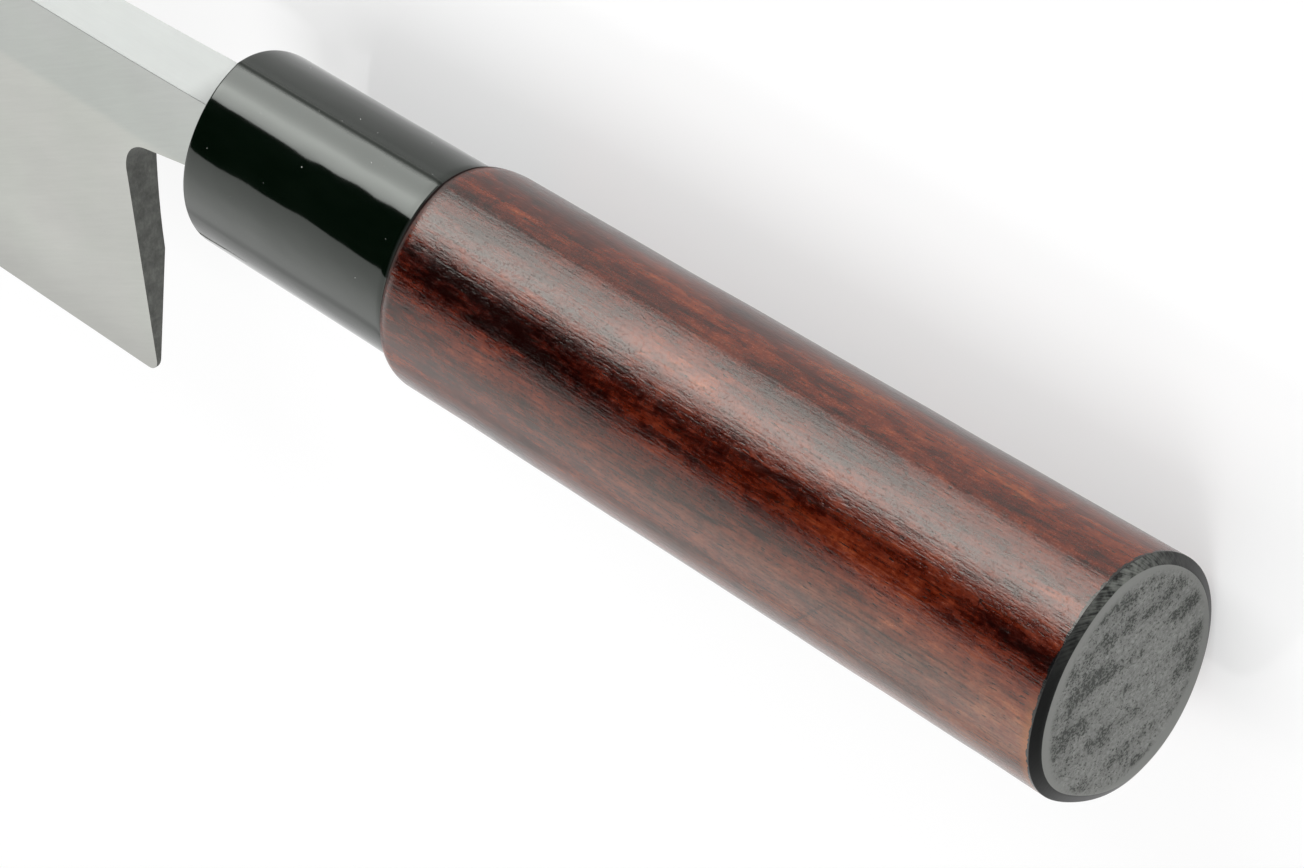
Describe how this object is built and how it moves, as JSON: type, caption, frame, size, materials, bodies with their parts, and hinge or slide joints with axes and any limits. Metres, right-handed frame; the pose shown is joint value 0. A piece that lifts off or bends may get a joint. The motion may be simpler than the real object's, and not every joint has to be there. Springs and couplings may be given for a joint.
{
  "type": "deba knife",
  "caption": "Right-handed single-bevel fish and poultry knife with a thick spine, moulded black collar and stained wooden handle.",
  "frame": {"origin": "bottom centre of the knife's bounding box, lying on its right side", "axes": "+X from the butt to the tip, +Y from the spine to the cutting edge, +Z out of the flat left face of the blade"},
  "size_m": [0.312, 0.057, 0.0273],
  "materials": {
    "blade": "satin ground faces, dark rough heel face",
    "collar": "polished black",
    "grip": "red-brown stain under satin lacquer, butt painted black",
    "tang_resin": "set resin, hidden"
  },
  "bodies": {
    "root": {"blade": "blade", "collar": "collar", "grip": "grip", "tang_resin": "tang_resin"}
  },
  "joints": []
}
